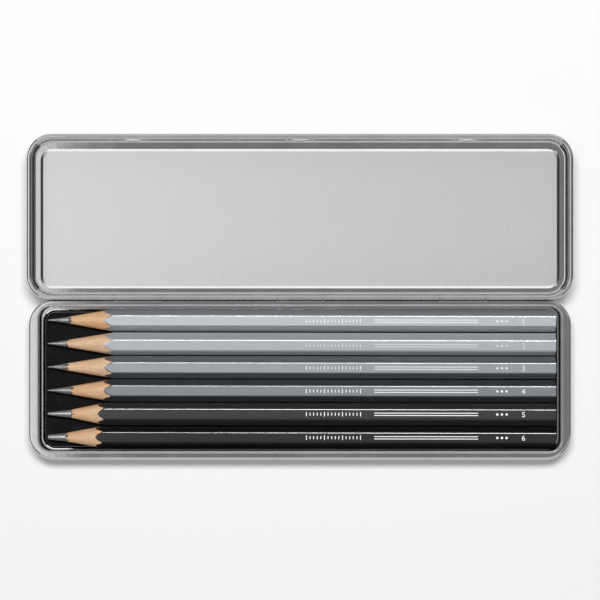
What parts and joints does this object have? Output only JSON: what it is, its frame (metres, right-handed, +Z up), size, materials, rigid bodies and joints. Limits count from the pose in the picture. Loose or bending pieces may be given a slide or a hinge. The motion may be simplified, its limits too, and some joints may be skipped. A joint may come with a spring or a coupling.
{
  "type": "pencil tin",
  "caption": "Flat hinged metal tin, open, holding a row of sharpened hexagonal graphite pencils on a thin black pad.",
  "frame": {"origin": "centre of the base's underside, on the table", "axes": "+X right along the pencils, away from their points; +Y back towards the open lid; +Z up"},
  "size_m": [0.1884, 0.1123, 0.0083],
  "materials": {
    "tinplate": "satin",
    "wire": "satin",
    "liner": "matt",
    "cedar": "bare",
    "graphite": "satin",
    "lacquer_1": "gloss",
    "lacquer_2": "gloss",
    "lacquer_3": "gloss",
    "lacquer_4": "gloss",
    "lacquer_5": "gloss",
    "lacquer_6": "gloss"
  },
  "bodies": {
    "base": {"base_shell": "tinplate", "liner": "liner", "hinge_wire": "wire"},
    "lid": {"lid_shell": "tinplate"},
    "pencil_1": {"pencil_1_wood": "cedar", "pencil_1_lead": "graphite", "pencil_1_coat": "lacquer_1"},
    "pencil_2": {"pencil_2_wood": "cedar", "pencil_2_lead": "graphite", "pencil_2_coat": "lacquer_2"},
    "pencil_3": {"pencil_3_wood": "cedar", "pencil_3_lead": "graphite", "pencil_3_coat": "lacquer_3"},
    "pencil_4": {"pencil_4_wood": "cedar", "pencil_4_lead": "graphite", "pencil_4_coat": "lacquer_4"},
    "pencil_5": {"pencil_5_wood": "cedar", "pencil_5_lead": "graphite", "pencil_5_coat": "lacquer_5"},
    "pencil_6": {"pencil_6_wood": "cedar", "pencil_6_lead": "graphite", "pencil_6_coat": "lacquer_6"}
  },
  "joints": [
    {"name": "lid_hinge", "type": "hinge", "parent": "base", "child": "lid", "pos_m": [0, 0.02821, 0.0064], "axis": [-1, 0, 0], "range_deg": [-180, 0]},
    {"name": "pencil_1_lift", "type": "slide", "parent": "base", "child": "pencil_1", "axis": [0, 0, 1], "range_m": [0, 0.025]},
    {"name": "pencil_2_lift", "type": "slide", "parent": "base", "child": "pencil_2", "axis": [0, 0, 1], "range_m": [0, 0.025]},
    {"name": "pencil_3_lift", "type": "slide", "parent": "base", "child": "pencil_3", "axis": [0, 0, 1], "range_m": [0, 0.025]},
    {"name": "pencil_4_lift", "type": "slide", "parent": "base", "child": "pencil_4", "axis": [0, 0, 1], "range_m": [0, 0.025]},
    {"name": "pencil_5_lift", "type": "slide", "parent": "base", "child": "pencil_5", "axis": [0, 0, 1], "range_m": [0, 0.025]},
    {"name": "pencil_6_lift", "type": "slide", "parent": "base", "child": "pencil_6", "axis": [0, 0, 1], "range_m": [0, 0.025]}
  ]
}
